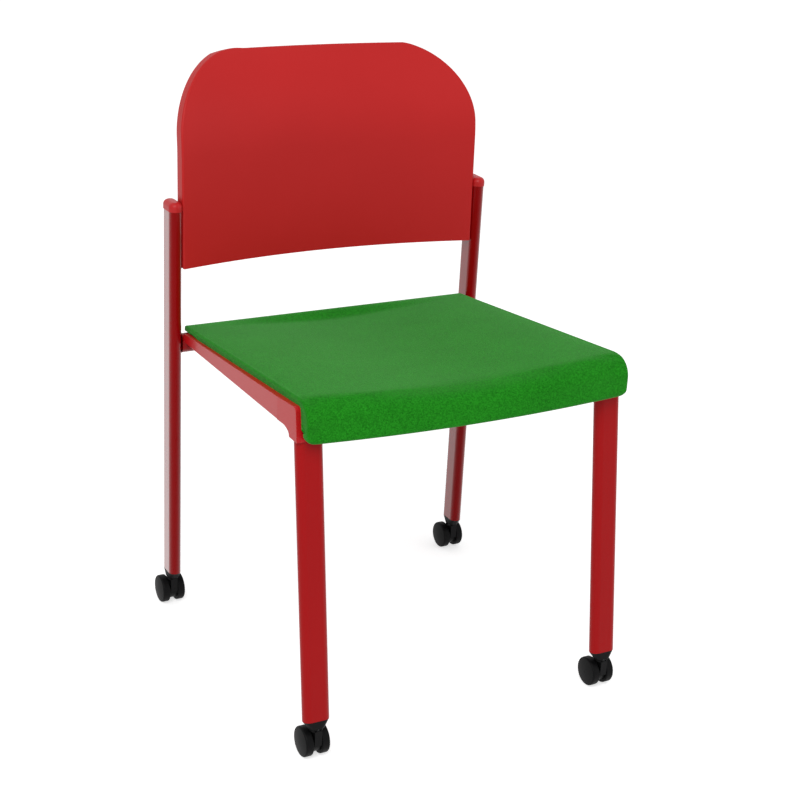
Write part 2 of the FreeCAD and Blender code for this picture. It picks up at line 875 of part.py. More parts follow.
def bracket_frame(side):
    """Frame of a bracket: x along the shell, y out of its rear face, z up it."""
    angle = number(size["bracket_angle"])
    reach = number(back_outside(size["bracket_middle"])) + number(size["screw_fit"])
    turn = Rotation(Z_AXIS, -side * angle)
    base = turn * Vector(0, reach, 0) + Vector(0, number(back_axis_y()), number(size["bracket_middle"]))
    return Placement(base, turn * Rotation(X_AXIS, -number(size["back_lean"])))


def bracket_screw_places(side):
    for level in (-1, 1):
        yield -side * size["bracket_screw_inset"], level * size["bracket_screw_pitch"] / 2


def back_bracket(name, side):
    body = new_body("back_bracket_" + name)
    plate = new_sketch(body, "XZ_Plane")
    half_width, half_height = size["bracket_width"] / 2, size["bracket_height"] / 2
    draw_outline(
        plate,
        (
            (-half_width, -half_height),
            (half_width, -half_height),
            (half_width, half_height),
            (-half_width, half_height),
        ),
    )
    pad(body, plate, size["bracket_thick"], reverse=True)
    inner_x = -side * number(half_width)
    round_edges(
        body,
        size["bracket_corner"],
        lambda middle, reach: abs(middle.x - inner_x) < 0.1 and abs(reach.y) > 1,
    )
    for x, z in bracket_screw_places(side):
        drill(body, (x, -1.0, z), Y_AXIS, screw_hole(), size["bracket_thick"] + 2)
    body.Placement = bracket_frame(side)


def drill_back_shell(body):
    """Blind holes in the shell's rear face for the bracket screws."""
    lower = Placement(Vector(0, number(back_axis_y()), 0), Rotation()).inverse()
    for side in (-1, 1):
        frame = lower.multiply(bracket_frame(side))
        for x, z in bracket_screw_places(side):
            start = frame.multVec(Vector(number(x), 1, number(z)))
            depth = size["screw_bite"] + 1 + size["screw_cover"]
            drill(body, tuple(start), frame.Rotation * -Y_AXIS, screw_hole(), depth)


def screw(grip):
    """Pan-head screw along +Z with its head's seat at z = 0 and the head below."""
    radius, head = number(size["screw_size"]) / 2, number(size["screw_head"]) / 2
    height = number(size["screw_head_height"])
    shank = Part.makeCylinder(radius, grip)
    cap = Part.makeCylinder(head, height, Vector(0, 0, -height))
    low_edges = [edge for edge in cap.Edges if edge.BoundBox.ZMax < -height + 0.01]
    return shank.fuse(cap.makeFillet(height * 0.6, low_edges))


def screw_group(label, solids):
    feature = doc.addObject("Part::Feature", label)
    feature.Label = label
    feature.Shape = Part.makeCompound(solids)
    parts.append(feature)


def back_screws():
    grip = number(size["bracket_thick"] + size["screw_bite"])
    solids = []
    for side in (-1, 1):
        for x, z in bracket_screw_places(side):
            seat = Vector(number(x), number(size["bracket_thick"]), number(z))
            local = Placement(seat, Rotation(Z_AXIS, -Y_AXIS))
            solids.append(screw(grip).transformed(bracket_frame(side).multiply(local).toMatrix()))
    screw_group("back_screws", solids)


def seat_screws():
    solids = []
    for x, y in seat_screw_places():
        low = number(seat_base(y) - rail_depth(y) - size["screw_seat_drop"])
        grip = number(rail_depth(y) + size["pan_thick"] - 2 * size["screw_cover"] + size["screw_seat_drop"])
        solid = screw(grip)
        solid.translate(Vector(number(x), number(y), low))
        solids.append(solid)
    screw_group("seat_screws", solids)


def leg_plug(name, x, y, stem_shift, rake, upright):
    """Plug in the foot of a leg, which narrows towards the castor and grips its stem."""
    body = new_body("leg_plug_" + name)
    tilt = (-X_AXIS, rake) if rake else (None, 0.0)
    stub = new_sketch(body, "XY_Plane", 0.0, (0.0, 0.0), *tilt)
    draw_slot(stub, *insert_sizes(), upright)
    pad(body, stub, size["insert_depth"])
    shoulder = new_sketch(body, "XY_Plane", 0.0, (0.0, 0.0), *tilt)
    draw_slot(shoulder, size["tube_long"], size["tube_thick"], upright)
    tip = new_sketch(body, "XY_Plane", -size["plug_height"], (0.0, stem_shift))
    draw_slot(tip, size["plug_tip_long"], size["plug_tip_thick"], upright)
    loft(body, [shoulder, tip], ruled=True)
    bore = size["stem_size"] + 2 * size["fixed_fit"]
    start = (0.0, stem_shift, -size["plug_height"] - 1)
    drill(body, start, Z_AXIS, bore, size["stem_length"] + 1 + size["swivel_gap"])
    place(body, x, y, size["foot_height"])


def turned(label, points, axis="V_Axis"):
    body = new_body(label)
    section = new_sketch(body, "XZ_Plane")
    draw_outline(section, points)
    revolve(body, section, axis)
    return body


def castor_stem(name, x, y):
    """Steel stem: gripped by the plug above its collar, turning in the hood below it."""
    top = size["foot_height"] - size["plug_height"]
    collar_low = top - size["stem_collar_height"]
    end = top + size["stem_length"]
    pivot, grip = size["pivot_size"] / 2, size["stem_size"] / 2
    collar = size["stem_collar"] / 2
    low = collar_low - size["pivot_length"]
    bevel = size["pin_bevel"]
    body = turned(
        "castor_stem_" + name,
        (
            (0.0, low),
            (pivot - bevel, low),
            (pivot, low + bevel),
            (pivot, collar_low),
            (collar, collar_low),
            (collar, top),
            (grip, top),
            (grip, end - bevel),
            (grip - bevel, end),
            (0.0, end),
        ),
    )
    place(body, x, y, 0.0)


def castor_hood(name, x, y):
    """Hood between the wheels: a round core about the axle with a neck up to the stem."""
    body = new_body("castor_hood_" + name)
    axle_z = size["wheel_size"] / 2
    core = new_sketch(body, "YZ_Plane")
    draw_circle(core, size["trail"], axle_z, size["hood_core"])
    pad(body, core, size["hood_width"], both_ways=True)
    top = size["foot_height"] - size["plug_height"] - size["stem_collar_height"] - size["swivel_gap"]
    half = size["hood_neck"] / 2
    shoulder = axle_z + size["hood_core"] / 2
    neck = new_sketch(body, "YZ_Plane")
    draw_outline(
        neck,
        (
            (-half, axle_z),
            (size["trail"], axle_z),
            (size["trail"], shoulder),
            (half, top - size["hood_crown"]),
            (half, top - size["hood_crown"] / 2),
            (-half, top - size["hood_crown"] / 2),
        ),
    )
    pad(body, neck, size["hood_width"], both_ways=True)
    crown = new_sketch(body, "XY_Plane", top)
    draw_circle(crown, 0.0, 0.0, size["hood_neck"])
    pad(body, crown, size["hood_crown"], reverse=True)
    bore = size["pivot_size"] + 2 * size["running_fit"]
    drill(body, (0.0, 0.0, top + 1), -Z_AXIS, bore, size["pivot_length"] + 1)
    axle_bore = size["axle_size"] + 2 * size["fixed_fit"]
    start = (-size["hood_width"], size["trail"], axle_z)
    drill(body, start, X_AXIS, axle_bore, 2 * size["hood_width"])
    place(body, x, y, 0.0)


def castor_axle(name, x, y):
    body = new_body("castor_axle_" + name)
    section = new_sketch(body, "YZ_Plane")
    draw_circle(section, 0.0, 0.0, size["axle_size"])
    pad(body, section, size["axle_length"], both_ways=True)
    chamfer = "PartDesign::Chamfer"
    round_edges(body, size["pin_bevel"], lambda middle, reach: abs(middle.x) > 1 and reach.x == 0, chamfer)
    place(body, x, y + size["trail"], size["wheel_size"] / 2)


def castor_wheel(name, x, y, side_name, side):
    """One of the twin wheels: hub, recessed inner web, rounded tread and a domed outer face."""
    rim = size["wheel_size"] / 2
    width = size["wheel_width"]
    bore = size["axle_size"] / 2 + size["running_fit"]
    depth = (size["axle_length"] - size["hood_width"]) / 2 - size["wheel_side_gap"] + size["swivel_gap"]
    wall, recess, lip = size["wheel_wall"], size["wheel_recess"], size["wheel_lip"]
    inner_round, outer_round = size["wheel_inner_round"], size["wheel_outer_round"]
    dome, face = size["wheel_dome"], rim - outer_round
    dome_radius = (face * face + dome * dome) / (2 * dome)
    body = turned(
        "castor_%s_wheel_%s" % (name, side_name),
        (
            (0.0, bore),
            (0.0, bore + wall),
            (recess, bore + wall),
            (recess, rim - wall - inner_round),
            (lip, rim - wall - inner_round),
            (lip, rim - inner_round, -inner_round),
            (lip + inner_round, rim),
            (width - outer_round, rim, -outer_round),
            (width, face, -dome_radius),
            (width + dome, 0.0),
            (depth, 0.0),
            (depth, bore),
        ),
        "H_Axis",
    )
    offset = size["hood_width"] / 2 + size["wheel_side_gap"]
    place(body, x + side * offset, y + size["trail"], rim, Z_AXIS, 0.0 if side > 0 else 180.0)


for name, side in SIDES:
    front_leg(name, side)
    rear_upright(name, side)
    upright_cap(name, side)
    side_rail(name, side)
rear_cross_tube()
front_cross_tube()
seat_pad(seat_pan())
drill_back_shell(back_shell())
for name, side in SIDES:
    back_bracket(name, side)
back_screws()
seat_screws()
CORNERS = (
    ("front", size["leg_half_span"], size["leg_foot_y"], size["front_stem_shift"], size["leg_rake"], False),
    ("rear", size["upright_half_span"], size["upright_y"], 0.0, None, True),
)
for row_name, half_span, tube_y, stem_shift, rake, upright in CORNERS:
    for name, side in SIDES:
        corner = "%s_%s" % (row_name, name)
        leg_plug(corner, side * half_span, tube_y, stem_shift, rake, upright)
        spot = (side * half_span, tube_y + stem_shift)
        castor_stem(corner, *spot)
        castor_hood(corner, *spot)
        castor_axle(corner, *spot)
        for wheel_name, wheel_side in SIDES:
            castor_wheel(corner, *spot, wheel_name, wheel_side)

doc.recompute()
for item in doc.Objects:
    if "Invalid" in item.State or "Error" in item.State:
        raise RuntimeError("%s: %s" % (item.Label, item.State))
os.makedirs("parts", exist_ok=True)
for part in parts:
    if part.Shape.isNull() or not part.Shape.isValid():
        raise RuntimeError("%s has no valid shape" % part.Label)
    part.Shape.exportStep("parts/%s.step" % part.Label)
    print(part.Label, len(part.Shape.Solids), round(part.Shape.Volume))
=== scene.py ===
import math

import bmesh
import bpy
from mathutils import Matrix, Vector


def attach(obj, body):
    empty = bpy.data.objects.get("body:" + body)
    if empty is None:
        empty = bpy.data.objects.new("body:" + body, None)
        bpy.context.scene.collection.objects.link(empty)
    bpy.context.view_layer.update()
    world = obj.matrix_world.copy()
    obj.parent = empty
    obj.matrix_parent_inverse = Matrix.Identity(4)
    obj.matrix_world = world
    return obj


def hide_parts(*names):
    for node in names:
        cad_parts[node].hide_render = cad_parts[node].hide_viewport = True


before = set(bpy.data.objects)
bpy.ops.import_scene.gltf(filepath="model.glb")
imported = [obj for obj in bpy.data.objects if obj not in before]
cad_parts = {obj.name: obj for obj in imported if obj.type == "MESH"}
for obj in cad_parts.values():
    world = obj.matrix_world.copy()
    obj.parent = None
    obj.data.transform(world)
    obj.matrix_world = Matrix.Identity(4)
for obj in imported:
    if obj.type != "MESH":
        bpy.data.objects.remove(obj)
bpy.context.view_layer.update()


# The camera stands to the front left of the chair at eye height, a little over two metres away,
# and leans a few degrees, as in the photograph.
SENSOR_WIDTH, PICTURE_WIDTH, FOCAL_LENGTH = 36.0, 800, 1674
LOOKED_AT, CAMERA_DISTANCE = Vector((0.0049, -0.0326, 0.369)), 2.26
turned_left, looking_down, leaning = math.radians(29.26), math.radians(21.57), math.radians(3.12)
ahead = Vector(
    (
        math.sin(turned_left) * math.cos(looking_down),
        math.cos(turned_left) * math.cos(looking_down),
        -math.sin(looking_down),
    )
)
level_right = Vector((math.cos(turned_left), -math.sin(turned_left), 0))
level_up = level_right.cross(ahead)
camera_right = level_right * math.cos(leaning) + level_up * math.sin(leaning)
camera_up = level_up * math.cos(leaning) - level_right * math.sin(leaning)
camera_data = bpy.data.cameras.new("camera")
camera_data.sensor_width = SENSOR_WIDTH
camera_data.lens = FOCAL_LENGTH / PICTURE_WIDTH * SENSOR_WIDTH
camera = bpy.data.objects.new("camera", camera_data)
bpy.context.scene.collection.objects.link(camera)
stand = Matrix((camera_right, camera_up, -ahead)).transposed().to_4x4()
stand.translation = LOOKED_AT - ahead * CAMERA_DISTANCE
camera.matrix_world = stand
bpy.context.scene.camera = camera
bpy.context.scene.view_settings.view_transform = "Standard"


# Legs, uprights and cross tubes: lengths of flat-oval and round steel tube, cut straight, welded
# together and painted in a high-gloss red that mirrors the pale floor where it turns away.
DRIFT_SCALE, SPECK_SCALE, GRAIN_SCALE, GLOSS_DRIFT = 9.0, 900.0, 450.0, 0.06


class Socket:
    """A shader value with Python's arithmetic: an expression on sockets adds the maths nodes."""

    def __init__(self, shader, socket):
        self.shader = shader
        self.socket = socket

    def math(self, operation, *values):
        return self.shader.node("ShaderNodeMath", {"operation": operation}, *values)

    def __add__(self, other):
        return self.math("ADD", self, other)

    def __sub__(self, other):
        return self.math("SUBTRACT", self, other)

    def __mul__(self, other):
        return self.math("MULTIPLY", self, other)

    def __pow__(self, other):
        return self.math("POWER", self, other)


class Shader:
    """A material's node tree and its main surface shader."""

    def __init__(self, name, **constants):
        self.material = bpy.data.materials.new(name)
        self.material.use_nodes = True
        self.tree = self.material.node_tree
        self.surface = self.tree.nodes["Principled BSDF"]
        for socket, value in constants.items():
            self.surface.inputs[socket.replace("_", " ")].default_value = value

    def node(self, kind, settings=None, *values, output=0, **named):
        """Adds a node: its settings first, then the values or links of its sockets."""
        node = self.tree.nodes.new(kind)
        for name, value in (settings or {}).items():
            setattr(node, name, value)
        pairs = [(node.inputs[index], value) for index, value in enumerate(values)]
        pairs += [(node.inputs[name.replace("_", " ")], value) for name, value in named.items()]
        for socket, value in pairs:
            if isinstance(value, Socket):
                self.tree.links.new(value.socket, socket)
            else:
                socket.default_value = value
        return Socket(self, node.outputs[output])

    def noise(self, where, scale, detail=2.0, rough=0.5):
        return self.node(
            "ShaderNodeTexNoise", {}, Vector=where, Scale=scale, Detail=detail, Roughness=rough
        )

    def mix(self, share, low, high):
        """A colour between two others."""
        node = self.tree.nodes.new("ShaderNodeMix")
        node.data_type = "RGBA"
        sockets = (node.inputs["Factor"], node.inputs[6], node.inputs[7])
        for socket, value in zip(sockets, (share, low, high)):
            if isinstance(value, Socket):
                self.tree.links.new(value.socket, socket)
            else:
                socket.default_value = value
        return Socket(self, node.outputs[2])

    def bump(self, height, distance, strength=1.0):
        return self.node("ShaderNodeBump", {}, Height=height, Distance=distance, Strength=strength)

    def feed(self, **inputs):
        """Links values to the surface shader and returns the finished material."""
        for name, value in inputs.items():
            self.tree.links.new(value.socket, self.surface.inputs[name.replace("_", " ")])
        return self.material


def screen(red, green, blue):
    """A colour named by its screen values."""
    parts = [part / 255 for part in (red, green, blue)]
    light = [part / 12.92 if part < 0.04 else ((part + 0.055) / 1.055) ** 2.4 for part in parts]
    return (*light, 1.0)


def skin(name, deep, bright, ripple=0.00002, edge_gloss=0.0, soft_edge=0.0, **constants):
    """Paint or plastic: slow shifts of colour and gloss over the fine ripple of its surface.

    Where a soft edge is given, light runs round the part's sharp edges as if they were eased.
    """
    shader = Shader(name, **constants)
    where = shader.node("ShaderNodeTexCoord", output="Object")
    drift = shader.noise(where, DRIFT_SCALE, 3.0)
    speck = shader.noise(where, SPECK_SCALE, 1.0)
    grain = {"Height": shader.noise(where, GRAIN_SCALE, 2.0), "Distance": ripple}
    if soft_edge:
        grain["Normal"] = shader.node("ShaderNodeBevel", {"samples": 6}, soft_edge)
    inputs = {
        "Base Color": shader.mix(drift * 0.7 + speck * 0.3, deep, bright),
        "Roughness": drift * GLOSS_DRIFT + constants["Roughness"] - GLOSS_DRIFT / 2,
        "Normal": shader.node("ShaderNodeBump", {}, **grain),
    }
    if edge_gloss:
        turning_away = shader.node("ShaderNodeLayerWeight", {}, 0.5, output=1)
        inputs["Coat Weight"] = turning_away ** 2.0 * edge_gloss
    return shader.feed(**inputs)


def finish(material, *names):
    """Gives CAD parts their material."""
    for name in names:
        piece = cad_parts[name]
        piece.data.materials.clear()
        piece.data.materials.append(material)


SIDES = ("left", "right")
# The same red paint as the legs, but its base colour is set darker here for the uprights, cross
# tubes and brackets: painted shade.
tube_red_painted_shade = skin(
    "tube red painted shade", screen(134, 2, 5), screen(148, 4, 8), edge_gloss=2.9, Roughness=0.34,
    Specular_IOR_Level=0.08, Coat_Roughness=0.05, Coat_IOR=1.9,
)
finish(tube_red_painted_shade, "rear_cross_tube", "front_cross_tube")
finish(tube_red_painted_shade, *["rear_upright_" + side for side in SIDES])
leg_paint = skin(
    "leg paint", screen(158, 6, 10), screen(172, 11, 15), edge_gloss=0.35, Roughness=0.36,
    Specular_IOR_Level=0.14, Coat_Roughness=0.08,
)
finish(leg_paint, *["front_leg_" + side for side in SIDES])


# Side rails with their knees: one casting each side, dressed smooth and painted in the same red,
# with a slightly softer gloss. Their base colour here is set lighter than the legs' red, which is
# painted light. The front leg stands in the knee.
rail_red_painted_light = skin(
    "rail red painted light", screen(182, 16, 22), screen(196, 24, 30), edge_gloss=0.35, soft_edge=0.0016,
    Roughness=0.32, Specular_IOR_Level=0.2, Coat_Roughness=0.1,
)
finish(rail_red_painted_light, *["side_rail_" + side for side in SIDES])


# Caps on the uprights: small domed mouldings in brighter red plastic, pushed into the tube ends.
cap_plastic = skin(
    "cap plastic", screen(180, 16, 20), screen(194, 26, 30), Roughness=0.38, Specular_IOR_Level=0.3
)
finish(cap_plastic, *["upright_cap_" + side for side in SIDES])


# Backrest shell: one moulding in satin red plastic, with a fine even grain from its mould.
shell_plastic = skin(
    "shell plastic", screen(182, 22, 22), screen(194, 30, 30), ripple=0.00003, Roughness=0.46,
    Specular_IOR_Level=0.24,
)
finish(shell_plastic, "back_shell")


# Brackets behind the shell: plates welded to the uprights and painted with them. Four steel
# screws with a hexagon socket in their domed heads go through them into the shell.
# The brackets take the uprights' darkened red, which is painted shade.
finish(tube_red_painted_shade, *["back_bracket_" + side for side in SIDES])
HEAD_SIZE, HEAD_HEIGHT, SHANK_SIZE, SOCKET_SIZE, SOCKET_DEPTH = 9.0, 3.0, 5.0, 3.6, 1.6
BACK_GRIP, SEAT_GRIP = 10.5, 24.0
BRACKET_TURN, BACK_LEAN = math.radians(12.05), math.radians(1.53)
BRACKET_REACH, BACK_AXIS_Y, BRACKET_MIDDLE = 1002.73, -779.60, 560.0
SCREW_LEVELS, SCREW_INSET, PLATE_FACE = (-19.0, 19.0), 6.0, 2.5
DOME_FALL, SMALL_FACE = 0.55, 1.2e-6


def screw_tree():
    """Sets a screw, head outwards, on every point of a mesh; "into" holds the way it is driven."""
    tree = bpy.data.node_groups.new("screws", "GeometryNodeTree")
    face = tree.interface
    face.new_socket("places", in_out="INPUT", socket_type="NodeSocketGeometry")
    sizes = ("head size", "head height", "shank size", "grip", "socket size", "socket depth")
    for name in sizes:
        face.new_socket(name, in_out="INPUT", socket_type="NodeSocketFloat")
    face.new_socket("finish", in_out="INPUT", socket_type="NodeSocketMaterial")
    face.new_socket("screws", in_out="OUTPUT", socket_type="NodeSocketGeometry")
    given = tree.nodes.new("NodeGroupInput")

    def add(kind, settings=None, output=0, **inputs):
        node = tree.nodes.new(kind)
        for name, value in (settings or {}).items():
            setattr(node, name, value)
        for name, value in inputs.items():
            numbered = name[1:].isdigit()
            socket = node.inputs[int(name[1:]) if numbered else name.replace("_", " ")]
            if hasattr(value, "links"):
                tree.links.new(value, socket)
            else:
                socket.default_value = value
        return node.outputs[output]

    def maths(operation, one, other):
        return add("ShaderNodeMath", {"operation": operation}, i0=one, i1=other)

    def raised(shape, height):
        lift = add("ShaderNodeCombineXYZ", Z=height)
        return add("GeometryNodeTransform", Geometry=shape, Translation=lift)

    given_size = {name: given.outputs[name] for name in sizes}
    head_radius = maths("MULTIPLY", given_size["head size"], 0.5)
    height = given_size["head height"]
    head = add(
        "GeometryNodeMeshCylinder", {"fill_type": "TRIANGLE_FAN"}, Vertices=32, Side_Segments=4,
        Fill_Segments=5, Radius=head_radius, Depth=height,
    )
    head = raised(head, maths("MULTIPLY", height, -0.5))
    spot = add("GeometryNodeInputPosition")
    across = add("ShaderNodeSeparateXYZ", output=0, i0=spot)
    along = add("ShaderNodeSeparateXYZ", output=1, i0=spot)
    level = add("ShaderNodeSeparateXYZ", output=2, i0=spot)
    apart = maths("ADD", maths("MULTIPLY", across, across), maths("MULTIPLY", along, along))
    fall = maths("DIVIDE", apart, maths("MULTIPLY", head_radius, head_radius))
    depth_share = maths("DIVIDE", level, height)
    dome = maths("MULTIPLY", height, -DOME_FALL)
    lift = maths("MULTIPLY", maths("MULTIPLY", fall, depth_share), dome)
    head = add("GeometryNodeSetPosition", Geometry=head, Offset=add("ShaderNodeCombineXYZ", Z=lift))
    hexagon = add(
        "GeometryNodeMeshCylinder", {"fill_type": "NGON"}, Vertices=6,
        Radius=maths("MULTIPLY", given_size["socket size"], 0.5),
        Depth=maths("MULTIPLY", given_size["socket depth"], 2.0),
    )
    hexagon = raised(hexagon, maths("MULTIPLY", height, -1.0))
    cut = {"operation": "DIFFERENCE", "solver": "EXACT"}
    head = add("GeometryNodeMeshBoolean", cut, i0=head, i1=hexagon)
    shank = add(
        "GeometryNodeMeshCylinder", {"fill_type": "NGON"}, Vertices=24,
        Radius=maths("MULTIPLY", given_size["shank size"], 0.5), Depth=given_size["grip"],
    )
    shank = raised(shank, maths("MULTIPLY", given_size["grip"], 0.5))
    join = tree.nodes.new("GeometryNodeJoinGeometry")
    tree.links.new(head, join.inputs[0])
    tree.links.new(shank, join.inputs[0])
    into = add("GeometryNodeInputNamedAttribute", {"data_type": "FLOAT_VECTOR"}, Name="into")
    turn = add("FunctionNodeAlignRotationToVector", {"axis": "Z"}, Vector=into)
    points = given.outputs["places"]
    placed = add(
        "GeometryNodeInstanceOnPoints", Points=points, Instance=join.outputs[0], Rotation=turn
    )
    solid = add("GeometryNodeRealizeInstances", Geometry=placed)
    dressed = add("GeometryNodeSetMaterial", Geometry=solid, Material=given.outputs["finish"])
    tree.links.new(dressed, tree.nodes.new("NodeGroupOutput").inputs[0])
    return tree


def driven_screws(name, places, grip, material):
    """One mesh of screws; each place is the head's seat and the way in, both as vectors."""
    points = bpy.data.meshes.new(name)
    points.from_pydata([seat / 1000 for seat, into in places], [], [])
    ways = points.attributes.new("into", "FLOAT_VECTOR", "POINT")
    for slot, (seat, into) in zip(ways.data, places):
        slot.vector = into
    piece = bpy.data.objects.new(name, points)
    bpy.context.scene.collection.objects.link(piece)
    maker = piece.modifiers.new("screws", "NODES")
    maker.node_group = screws
    lengths = (HEAD_SIZE, HEAD_HEIGHT, SHANK_SIZE, grip, SOCKET_SIZE, SOCKET_DEPTH)
    values = [length / 1000 for length in lengths] + [material]
    inputs = [item for item in screws.interface.items_tree if item.in_out == "INPUT"]
    for item, value in zip(inputs[1:], values):
        maker[item.identifier] = value
    graph = bpy.context.evaluated_depsgraph_get()
    mesh = bpy.data.meshes.new_from_object(piece.evaluated_get(graph), depsgraph=graph)
    piece.modifiers.clear()
    piece.data = mesh
    for face in mesh.polygons:
        face.use_smooth = face.area < SMALL_FACE
    return piece


screws = screw_tree()
screw_steel = skin(
    "screw steel", screen(112, 112, 116), screen(150, 150, 154), Roughness=0.34, Metallic=1.0
)
places = []
for side in (-1, 1):
    turn = Matrix.Rotation(-side * BRACKET_TURN, 3, "Z")
    tilt = turn @ Matrix.Rotation(-BACK_LEAN, 3, "X")
    middle = turn @ Vector((0, BRACKET_REACH, 0)) + Vector((0, BACK_AXIS_Y, BRACKET_MIDDLE))
    for level in SCREW_LEVELS:
        seat = middle + tilt @ Vector((-side * SCREW_INSET, PLATE_FACE, level))
        places.append((seat, tilt @ Vector((0, -1, 0))))
back_screws = driven_screws("bracket_screws", places, BACK_GRIP, screw_steel)
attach(back_screws, "frame")
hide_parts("back_screws")


# Seat pan: a black moulded tray under the cushion, dished between the rails that it lies on.
# Four screws, of the same kind as the bracket's, come up through the rails and hold it.
pan_plastic = skin(
    "pan plastic", screen(36, 36, 39), screen(48, 48, 52), ripple=0.00006, Roughness=0.6,
    Specular_IOR_Level=0.3,
)
finish(pan_plastic, "seat_pan")
SEAT_REAR_Y, SEAT_REAR_HEIGHT, SEAT_SLOPE = 186.4, 421.5, math.tan(math.radians(5.62))
# Each screw's place across and along the seat, and the depth of the rail's underside there.
SEAT_SCREWS, SCREW_SEAT_DROP = ((212.0, 117.4, 20.76), (219.0, -122.6, 28.31)), 0.4


def seat_plane(y):
    """Height of the plane on which the seat lies, at a distance y from the middle."""
    return SEAT_REAR_HEIGHT + (SEAT_REAR_Y - y) * SEAT_SLOPE


places = []
for x, y, depth in SEAT_SCREWS:
    for side in (-1, 1):
        seat = Vector((side * x, y, seat_plane(y) - depth - SCREW_SEAT_DROP))
        places.append((seat, Vector((0, 0, 1))))
seat_screws = driven_screws("seat_screws_hex", places, SEAT_GRIP, screw_steel)
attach(seat_screws, "frame")
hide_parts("seat_screws")


# Seat cushion: thin foam in a green woven cover, dished for the sitter, with a raised rear edge.
# At the front it rolls over and drops before the knees. The cover is drawn tight round the pan's
# rim, so its sides are straight and its edges crisp, and only the top and the front swell.
PAD_FRONT_Y, PAD_INNER_Y = -235.6, -220.2
PAD_REAR_HALF, PAD_FRONT_HALF, PAD_BOW = 220.0, 230.0, 15.0
PAD_EDGE, PAD_DISH, PAD_BOTTOM = 9.2, 9.5, 418.3
PAD_SIDE_ROUND, PAD_CORNER, PAD_TOE, PAD_LIP, PAD_LIP_RUN = 2.4, 4.0, 6.0, 3.0, 30
PAD_RISE_RUN, PAD_RISE_SHARE, PAD_DISH_SHARE, PAD_INNER_DROP = 12, 0.7, 0.96, 8
PAD_CROWN, PAD_NOSE = (60.0, -5.62, 10.0), (25.0, 10.0, 90.0)
PAN_INSET, PAN_FRONT_Y, PAN_REAR_Y, PAN_DISH, PAN_FLAT = 3.0, -209.6, 170.4, 10.0, 0.84
PAN_FOOT, PAN_TOP, SIDE_STEPS = 0.5, 4.3, 24
COVER_STRETCH, COVER_MARGIN, STRETCH_LIMIT, STUFFING, FRAMES = 1.6, 22, 1.25, 4.0, 20
# The outline's points where the arcs of the rear lip and of the front's toe begin.
LIP_START, TOE_START = 4, 76


def seat_half(y):
    """Half the seat's width, which grows towards the front."""
    to_front = SEAT_REAR_Y - PAD_FRONT_Y
    return PAD_REAR_HALF + (PAD_FRONT_HALF - PAD_REAR_HALF) * (SEAT_REAR_Y - y) / to_front


def smooth(share):
    """Eases a share in and out between 0 and 1."""
    share = min(max(share, 0.0), 1.0)
    return share * share * (3 - 2 * share)


def falling_arc(y, z, radius, steep_in, steep_out, steps):
    """Points of an arc that falls away to the front, from one steepness to a greater one."""
    first = math.radians(steep_in)
    for step in range(1, steps + 1):
        now = math.radians(steep_in + (steep_out - steep_in) * step / steps)
        forward = radius * (math.sin(now) - math.sin(first))
        yield y - forward, z - radius * (math.cos(first) - math.cos(now))


def pad_outline(share):
    """Side outline of the pad at a share of its half width, from the rear edge over the top."""
    from_edge = (1 - abs(share)) * PAD_FRONT_HALF
    dip = math.cos(math.pi / 2 * min(abs(share) / PAD_DISH_SHARE, 1)) ** 2
    short = max(0.0, PAD_CORNER - from_edge)
    pull = PAD_CORNER - math.sqrt(PAD_CORNER**2 - short**2)
    short = max(0.0, PAD_RISE_RUN - from_edge)
    rise = PAD_RISE_SHARE * (PAD_RISE_RUN - math.sqrt(PAD_RISE_RUN**2 - short**2))
    sag = max(0.0, 1 - (share / PAN_FLAT) ** 2)

    def top(y, dished=1.0):
        return seat_plane(y) + PAD_EDGE - dished * PAD_DISH * dip

    def rest(y):
        """Underside: level with the pan's lower face outside it, and on its upper face inside."""
        outside = from_edge < PAN_INSET + 0.3
        return seat_plane(y) + (PAN_FOOT if outside else PAN_TOP - PAN_DISH * sag)

    rear, lip = SEAT_REAR_Y, PAD_LIP
    low, high = seat_plane(rear) + PAN_FOOT, top(rear, 0)
    points = [(rear, low + (high - lip - low) * step / 3) for step in range(4)]
    for step in range(1, 5):
        angle = math.radians(90 * step / 4)
        points.append((rear - lip * (1 - math.cos(angle)), high - lip * (1 - math.sin(angle))))
    for step in range(1, 8):
        y = rear - lip - PAD_LIP_RUN * step / 7
        points.append((y, top(y, smooth(step / 7))))
    front = PAD_FRONT_Y - PAD_BOW * (1 - share * share) + pull
    crease = front
    for radius, steep_in, steep_out in (PAD_CROWN, PAD_NOSE):
        crease += radius * (math.sin(math.radians(steep_out)) - math.sin(math.radians(steep_in)))
    start = points[-1][0]
    for step in range(1, 43):
        y = start + (crease - start) * step / 42
        points.append((y, top(y)))
    points += falling_arc(*points[-1], *PAD_CROWN, 6)
    points += falling_arc(*points[-1], *PAD_NOSE, 9)
    high, low = points[-1][1], PAD_BOTTOM + rise + PAD_TOE
    for step in range(1, 5):
        points.append((front, high + (low - high) * step / 4))
    for step in range(1, 6):
        angle = math.radians(90 * step / 5)
        points.append((front + PAD_TOE * (1 - math.cos(angle)), low - PAD_TOE * math.sin(angle)))
    points += [(PAD_INNER_Y - 1.2, PAD_BOTTOM + rise), (PAD_INNER_Y, PAD_BOTTOM + rise + 1.2)]
    under = seat_plane(PAD_INNER_Y) - 6 - PAD_INNER_DROP * dip
    for step in range(1, 4):
        points.append((PAD_INNER_Y, PAD_BOTTOM + rise + (under - PAD_BOTTOM - rise) * step / 3))
    points.append((PAN_FRONT_Y, rest(PAN_FRONT_Y)))
    for step in range(1, 13):
        y = PAN_FRONT_Y + (PAN_REAR_Y + 0.4 - PAN_FRONT_Y) * step / 12
        points.append((y, rest(y)))
    points.append((PAN_REAR_Y + 0.8, seat_plane(PAN_REAR_Y) + PAN_FOOT))
    return points


